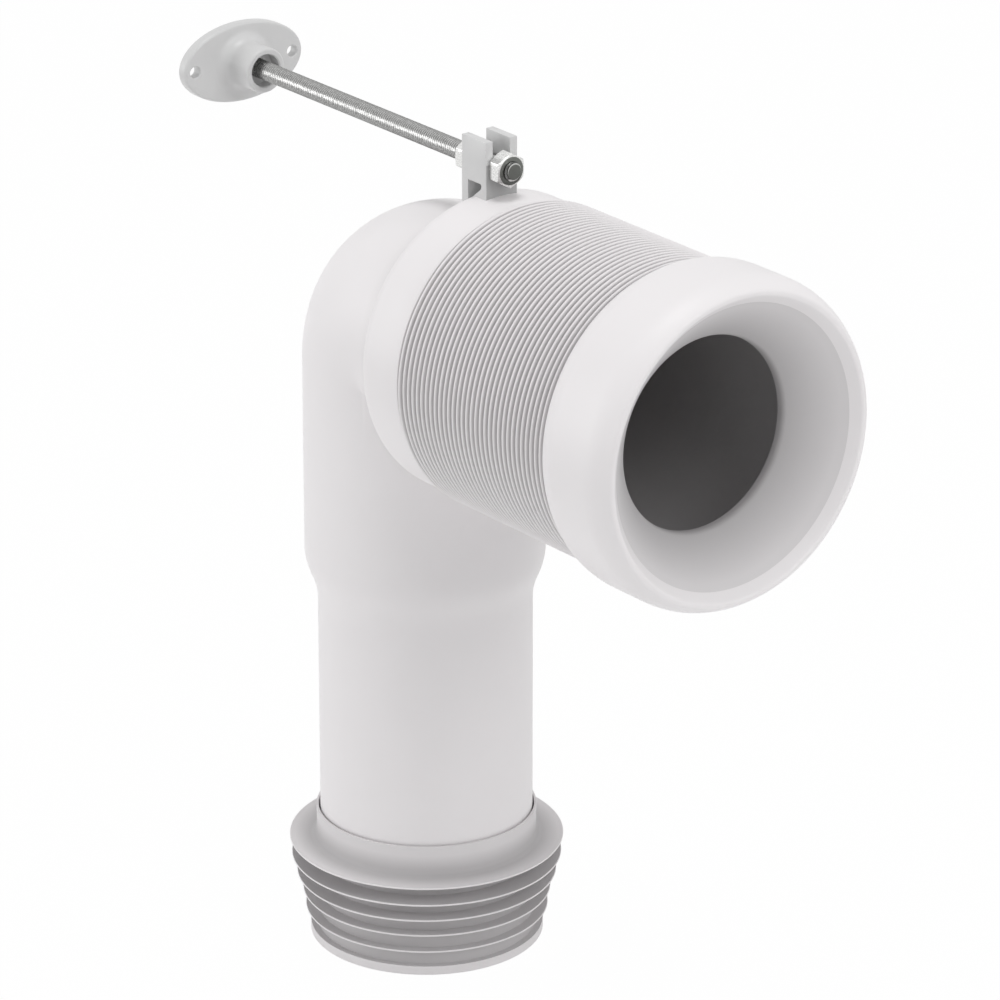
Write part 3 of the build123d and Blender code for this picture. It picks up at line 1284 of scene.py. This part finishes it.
@dataclass
class PanCuff:
    """The rounded white ring that goes round the pan's outlet."""

    radius: float = 68.79
    back_r: float = 65.5
    back_run: float = 10.0
    front_run: float = 13.3
    flare_rise: float = 4.6
    rim_round: float = 2.0
    piece: Piece = Piece("pan_cuff", Body.CUFF, Slot.WHITE, (WHITE,))

    def rim(self, nose: Flat, reach: float) -> tuple[Flat, Flat, Flat]:
        """Find the small circle that rounds the rim between the flare and the nose.

        Args:
            nose: Centre of the nose's circle.
            reach: Radius of the nose's circle.

        Returns:
            The small circle's centre, where it leaves the flare, and where it meets the nose.
        """
        flare = Vector((DATUM.flare_length, self.flare_rise)).normalized()
        seam = Vector((DATUM.chamber_front, DATUM.mouth_r))
        level = seam + flare.orthogonal() * self.rim_round - Vector(nose)
        short = level.dot(flare)
        along = math.sqrt(short ** 2 - level.length_squared + (reach - self.rim_round) ** 2) - short
        centre = Vector(nose) + level + flare * along
        start = seam + flare * along
        end = Vector(nose) + (centre - Vector(nose)).normalized() * reach
        return tuple(centre), tuple(start), tuple(end)

    def build(self) -> None:
        """Draw the ring's section, from its crown back, through its inside and round its rim, and turn it."""
        back, front = DATUM.cuff_back, DATUM.cuff_front
        crown_start, crown_end = back + self.back_run, front - self.front_run
        corner = (front, DATUM.mouth_r + self.flare_rise)
        neck_bore = DATUM.neck_r + DATUM.fit_gap
        shoulder, shoulder_turn = tangent_circle((crown_start, self.radius), (-1.0, 0.0), (back, self.back_r))
        nose, _ = tangent_circle((crown_end, self.radius), (1.0, 0.0), corner)
        roll, roll_start, roll_end = self.rim(nose, self.radius - nose[1])
        pen = Pen(ARM, (crown_start, self.radius)).arc(shoulder, shoulder_turn, 10)
        pen.line((back, neck_bore), (DATUM.chamber_back, neck_bore), (DATUM.chamber_back, DATUM.chamber_r))
        pen.line((DATUM.chamber_front, DATUM.chamber_r), (DATUM.chamber_front, DATUM.mouth_r), roll_start)
        pen.arc_to(roll, roll_start, roll_end, 8).arc_to(nose, roll_end, (crown_end, self.radius), 16).close()
        self.piece.fix(as_object("pan_ring", pen.turn()))


@dataclass
class LipSeal:
    """The rubber seal in the cuff: an outer ring and a funnel that narrows to a rounded lip."""

    setback: float = 18.5
    membrane: float = 2.2
    lip_round: float = 4.0
    web: float = 2.5
    ring_wall: float = 3.4
    gap: float = 0.15
    piece: Piece = Piece("lip_seal", Body.CUFF, Slot.RUBBER, (LIP_RUBBER,))

    def build(self) -> None:
        """Draw the seal's section and turn it."""
        front, back = DATUM.chamber_front, DATUM.chamber_back
        ring = DATUM.chamber_r - self.gap
        inner = ring - self.ring_wall
        rise = DATUM.mouth_r - DATUM.lip_r
        lean = math.atan2(rise, self.setback)
        lip_front = front - self.setback
        lip_back = lip_front - self.membrane / math.sin(lean)
        web_back = front - self.web
        web_r = DATUM.lip_r + (web_back - lip_back) * rise / self.setback
        trim = self.lip_round * math.tan(lean / 2)
        heading = (-math.cos(lean), -math.sin(lean))
        start = (lip_front - heading[0] * trim, DATUM.lip_r - heading[1] * trim)
        centre, turn = tangent_circle(start, heading, (lip_front - trim, DATUM.lip_r))
        pen = Pen(ARM, (back, inner)).line((back, ring), (front, ring), (front, DATUM.mouth_r), start)
        pen.arc(centre, turn, 6).line((lip_back, DATUM.lip_r), (web_back, web_r), (web_back, inner)).close()
        self.piece.fix(as_object("funnel_seal", pen.turn()))


@dataclass
class WallStay:
    """The threaded rod, its two nuts and the oval flange that is screwed to the wall.

    In one pitch, thread_root, thread_rise and thread_crest are the shares at which the root ends, the flank
    has risen and the crest ends. The screw runs on by thread_lead turns past each end before it is cut.
    """

    rod_tip: float = 2.0
    thread_pitch: float = 1.25
    thread_depth: float = 0.68
    thread_root: float = 0.2
    thread_rise: float = 0.54
    thread_crest: float = 0.66
    thread_steps: int = 20
    thread_lead: int = 2
    end_chamfer: float = 0.8
    nut_flats: float = 13.0
    nut_face_r: float = 5.9
    thread_gap: float = 0.1
    flange_width: float = 60.5
    flange_height: float = 34.19
    flange_edge: float = 1.2
    flange_steps: int = 128
    screw_spacing: float = 50.0
    screw_r: float = 2.5
    screw_sink: float = 0.4
    boss_r: float = 9.7
    boss_length: float = 16.0
    boss_foot: float = 5.0
    boss_edge: float = 0.9
    recess_r: float = 7.0
    recess_depth: float = 6.0
    recess_lead: float = 0.5
    overcut: float = 1.0

    def rod(self) -> None:
        """Turn one ridge of the thread in a long screw, cut both ends square, and close and chamfer them."""
        back, front = DATUM.flange_front, DATUM.lug_front + DATUM.nut_height + self.rod_tip
        pitch, crest, steps = self.thread_pitch, DATUM.rod_r, self.thread_steps
        root = crest - self.thread_depth
        start = back - self.thread_lead * pitch
        turns = math.ceil((front - back) / pitch) + 2 * self.thread_lead
        pen = Pen(ROD, (start, root)).line((start + self.thread_root * pitch, root))
        pen.line((start + self.thread_rise * pitch, crest), (start + self.thread_crest * pitch, crest))
        thread = pen.line((start + pitch, root)).mesh
        bmesh.ops.spin(
            thread, geom=thread.verts[:] + thread.edges[:], cent=ROD.point((0.0, 0.0)), axis=ROD.along,
            dvec=(pitch * MM / steps, 0, 0), angle=math.tau * turns, steps=steps * turns, use_merge=False,
        )
        bmesh.ops.remove_doubles(thread, verts=thread.verts[:], dist=SEAM)
        for place, way in ((back, -1.0), (front, 1.0)):
            split(thread, ROD.point((place, 0.0)), (way, 0, 0), clear=True)
        bmesh.ops.holes_fill(thread, edges=[edge for edge in thread.edges if edge.is_boundary])
        axis_z = DATUM.rod_height * MM
        for vert in thread.verts:
            inset = min(vert.co.x / MM - back, front - vert.co.x / MM)
            reach = math.hypot(vert.co.y, vert.co.z - axis_z) / MM
            limit = crest - self.end_chamfer + max(inset, 0.0)
            if reach > limit:
                share = limit / reach
                vert.co.y *= share
                vert.co.z = axis_z + (vert.co.z - axis_z) * share
        piece = Piece("threaded_rod", Body.STAY, Slot.STEEL, (THREAD, END_FACE_REFLECTION, PLATING))
        for face in thread.faces:
            if front - face.calc_center_median().x / MM < self.end_chamfer:
                face.material_index = piece.index(PLATING)
        # The rod's end faces get the painted dark reflection.
        piece.fix(as_object("stay_rod", with_ends(seamed(thread), piece.index(END_FACE_REFLECTION))))

    def nut(self, body: Body, back: float) -> None:
        """A hexagon nut with both faces chamfered round.

        Args:
            body: The body that it moves as, which has the name of its solid.
            back: Place of its back face along the rod.
        """
        corner = self.nut_flats / 2 / math.cos(math.pi / 6)
        rise = (corner - self.nut_face_r) / 2
        front = back + DATUM.nut_height
        prism = bmesh.new()
        upright = Matrix.Rotation(math.pi / 2, 4, "Y") @ Matrix.Rotation(math.pi / 2, 4, "Z")
        place = Matrix.Translation(ROD.point((back, 0.0))) @ upright
        bmesh.ops.create_circle(prism, cap_ends=True, radius=corner * MM, segments=6, matrix=place)
        top = bmesh.ops.extrude_face_region(prism, geom=prism.faces[:])["geom"]
        bmesh.ops.translate(prism, vec=(DATUM.nut_height * MM, 0, 0), verts=verts_in(top))
        made = as_object(body.value + "_hexagon", seamed(prism))
        round_off = Pen(ROD, (back, 0.0)).line((back, self.nut_face_r), (back + rise, corner))
        round_off.line((front - rise, corner), (front, self.nut_face_r), (front, 0.0))
        hole = drum(ROD, back - self.overcut, front + self.overcut, DATUM.rod_r + self.thread_gap)
        carve(made, (Tool.KEEP, round_off.turn(SMALL_TURN)), (Tool.TAKE, hole))
        piece = Piece(body.value, body, Slot.STEEL, (PLATING, END_FACE_REFLECTION))
        finished = bmesh.new()
        finished.from_mesh(made.data)
        # The nut's faces get the painted dark reflection.
        with_ends(finished, piece.index(END_FACE_REFLECTION)).to_mesh(made.data)
        finished.free()
        piece.fix(made)

    def flange(self) -> None:
        """The oval plate with a filleted boss, two screw holes, a recess and the rod's seat."""
        plate = bmesh.new()
        upright = Matrix.Translation(ROD.point((DATUM.wall_face, 0.0))) @ Matrix.Rotation(math.pi / 2, 4, "Y")
        oval = Matrix.Diagonal((self.flange_height / 2 * MM, self.flange_width / 2 * MM, 1.0, 1.0))
        bmesh.ops.create_circle(
            plate, cap_ends=True, radius=1.0, segments=self.flange_steps, matrix=upright @ oval,
        )
        front = bmesh.ops.extrude_face_region(plate, geom=plate.faces[:])["geom"]
        bmesh.ops.translate(plate, vec=(DATUM.flange_plate * MM, 0, 0), verts=verts_in(front))
        soften(plate, edges_at(plate, ROD, DATUM.flange_front), self.flange_edge, 5)
        made = as_object("wall_plate", seamed(plate))
        foot, tip = DATUM.flange_front, DATUM.flange_front + self.boss_length
        low = foot - DATUM.flange_plate / 2
        edge, spread = self.boss_edge, self.boss_r + self.boss_foot
        boss = Pen(ROD, (low, 0.0)).line((low, spread), (foot, spread))
        boss.arc((foot + self.boss_foot, spread), 90.0, 8).line((tip - edge, self.boss_r))
        boss.arc((tip - edge, self.boss_r - edge), -90.0, 4).line((tip, 0.0))
        deep, lead = tip - self.recess_depth, self.recess_lead
        recess = Pen(RECESS, (deep, 0.0)).line((deep, self.recess_r), (tip - lead, self.recess_r))
        recess.line((tip + lead, self.recess_r + 2 * lead), (tip + lead, 0.0))
        steps = [
            (Tool.ADD, boss.turn(SMALL_TURN)),
            (Tool.TAKE, recess.turn(SMALL_TURN)),
            (Tool.TAKE, drum(ROD, foot, tip + self.overcut, DATUM.rod_r + self.thread_gap)),
        ]
        under, sink = DATUM.wall_face - self.overcut, self.screw_sink
        for way in (-1.0, 1.0):
            sheet = Sheet((0.0, way * self.screw_spacing / 2, DATUM.rod_height), ROD.along, ROD.out)
            hole = Pen(sheet, (under, 0.0)).line((under, self.screw_r), (foot - sink, self.screw_r))
            hole.line((foot + sink, self.screw_r + 2 * sink), (foot + sink, 0.0))
            steps.append((Tool.TAKE, hole.turn(SMALL_TURN)))
        carve(made, *steps)
        Piece("wall_flange", Body.FLANGE, Slot.WHITE, (FITTING_GREY_AND_SHADE,)).fix(made)

    def build(self) -> None:
        """Make the rod, the nuts and the flange."""
        self.rod()
        self.nut(Body.FRONT_NUT, DATUM.lug_front)
        self.nut(Body.REAR_NUT, DATUM.lug_back - DATUM.nut_height)
        self.flange()


@dataclass(frozen=True)
class Lamp:
    """A square soft lamp that faces the object.

    Attributes:
        name: The lamp's name.
        side: Distance of its middle to the right of the object, as the camera sees it, in metres.
        near: Distance towards the camera on the level.
        rise: Height above the object's middle.
        power: Watts.
        size: Length of its side, in metres.
    """

    name: str
    side: float
    near: float
    rise: float
    power: float
    size: float = 1.4


@dataclass
class Studio:
    """Camera, lamps, world and floor.

    Attributes:
        azimuth: Degrees from looking along +Y towards looking along -X.
        elevation: Degrees above the level.
        distance: From the camera's plane of the origin, in millimetres.
        right: How far the camera stands to its right of the origin, in millimetres.
        up: How far it stands above it, in millimetres.
        datum_rise: Height of the fitted camera's own origin, in millimetres.
        lens: Focal length, in millimetres.
        film: Width of the sensor, in millimetres.
        far: Distance at which the camera stops seeing, in metres.
        floor_drop: Gap under the object, in millimetres.
        floor_reach: Radius of the floor, in metres.
        floor_steps: Number of sides of the floor.
        floor_shade: Grey of the floor.
        floor_rough: Roughness of the floor.
        floor_glow: Share of plain white in what is seen of the floor.
        middle: The point that the lamps face, in metres.
        sky: Strength of the light that the world throws on the object.
        lamps: The lamps.
    """

    azimuth: float = 52.317
    elevation: float = 21.538
    distance: float = 2552.48
    right: float = 31.217
    up: float = 140.742
    datum_rise: float = 8.13
    lens: float = 216.0
    film: float = 36.0
    far: float = 100.0
    floor_drop: float = 0.4
    floor_reach: float = 6.0
    floor_steps: int = 96
    floor_shade: float = 0.9
    floor_rough: float = 0.9
    floor_glow: float = 0.985
    middle: Point = (0.05, 0.0, 0.16)
    sky: float = 0.485
    lamps: tuple[Lamp, ...] = (
        Lamp("left", side=-2.575, near=0.0, rise=0.362, power=17.3),
        Lamp("right", side=1.592, near=1.592, rise=1.3, power=15.2),
        Lamp("above", side=0.0, near=0.13, rise=2.597, power=18.7, size=0.8),
    )

    @property
    def right_way(self) -> Vector:
        """The level direction to the camera's right."""
        turn = math.radians(self.azimuth)
        return Vector((math.cos(turn), math.sin(turn), 0.0))

    @property
    def near_way(self) -> Vector:
        """The level direction towards the camera."""
        turn = math.radians(self.azimuth)
        return Vector((math.sin(turn), -math.cos(turn), 0.0))

    def camera(self) -> None:
        """Set up the camera at the photograph's viewing angle."""
        turn, rise = math.radians(self.azimuth), math.radians(self.elevation)
        level = math.cos(rise)
        back = Vector((math.sin(turn) * level, -math.cos(turn) * level, math.sin(rise)))
        right = self.right_way
        above = back.cross(right)
        data = bpy.data.cameras.new("camera")
        data.lens = self.lens
        data.sensor_width = self.film
        data.clip_end = self.far
        made = bpy.data.objects.new("camera", data)
        place = right * self.right + above * self.up + back * self.distance
        place.z += self.datum_rise
        turned = Matrix((right, above, back)).transposed().to_4x4()
        made.matrix_world = Matrix.Translation(place * MM) @ turned
        bpy.context.scene.collection.objects.link(made)
        bpy.context.scene.camera = made

    def light(self, lamp: Lamp) -> None:
        """Set up one lamp.

        Args:
            lamp: What it is and where it stands.
        """
        data = bpy.data.lights.new(lamp.name, "AREA")
        data.size = lamp.size
        data.energy = lamp.power
        made = bpy.data.objects.new(lamp.name, data)
        away = self.right_way * lamp.side + self.near_way * lamp.near + Vector((0.0, 0.0, lamp.rise))
        made.location = Vector(self.middle) + away
        made.rotation_euler = away.to_track_quat("Z", "Y").to_euler()
        bpy.context.scene.collection.objects.link(made)

    def seen(self, graph: Graph) -> NodeSocket:
        """1 for what the camera, a reflection or a clear body sees, and 0 for light that falls on something.

        Args:
            graph: The tree to build in.

        Returns:
            The value's socket.
        """
        path = graph.add("ShaderNodeLightPath").outputs
        direct = graph.reckon("MAXIMUM", path["Is Camera Ray"], path["Is Glossy Ray"])
        return graph.reckon("MAXIMUM", direct, path["Is Transmission Ray"])

    def world(self) -> None:
        """Set up an even sky that is plain white to the eye."""
        sky = bpy.data.worlds.new("studio")
        bpy.context.scene.world = sky
        sky.use_nodes = True
        graph = Graph(sky.node_tree)
        back = sky.node_tree.nodes["Background"]
        back.inputs["Color"].default_value = (1.0, 1.0, 1.0, 1.0)
        graph.join(graph.spread(self.seen(graph), self.sky, 1.0), back.inputs["Strength"])

    def floor(self) -> None:
        """Lay a pale floor that keeps the object's shadow."""
        mesh = bmesh.new()
        low = Matrix.Translation((0.0, 0.0, CAD_LOW.z - self.floor_drop * MM))
        bmesh.ops.create_circle(
            mesh, cap_ends=True, radius=self.floor_reach, segments=self.floor_steps, matrix=low,
        )
        made = as_object("floor", mesh)
        paint, graph, shader = plain_material("floor_paint")
        shade = self.floor_shade
        shader.inputs["Base Color"].default_value = (shade, shade, shade, 1.0)
        shader.inputs["Roughness"].default_value = self.floor_rough
        shader.inputs["Specular IOR Level"].default_value = 0.0
        glow = graph.add("ShaderNodeEmission")
        mix = graph.add("ShaderNodeMixShader")
        graph.join(graph.spread(self.seen(graph), 0.0, self.floor_glow), mix.inputs[0])
        graph.join(shader.outputs[0], mix.inputs[1])
        graph.join(glow.outputs[0], mix.inputs[2])
        graph.join(mix.outputs[0], paint.node_tree.nodes["Material Output"].inputs["Surface"])
        made.data.materials.append(paint)

    def build(self) -> None:
        """Set up the whole studio."""
        bpy.context.scene.view_settings.view_transform = "Standard"
        self.camera()
        self.floor()
        self.world()
        for lamp in self.lamps:
            self.light(lamp)


def main() -> None:
    """Build every sub-assembly in order, then the studio."""
    logging.basicConfig(level=logging.INFO, format="%(name)s: %(message)s")
    for assembly in (Bend(), FinnedSeal(), Bellows(), PanCuff(), LipSeal(), WallStay(), Studio()):
        assembly.build()
    log.info("studio ready")


if __name__ == "__main__":
    main()
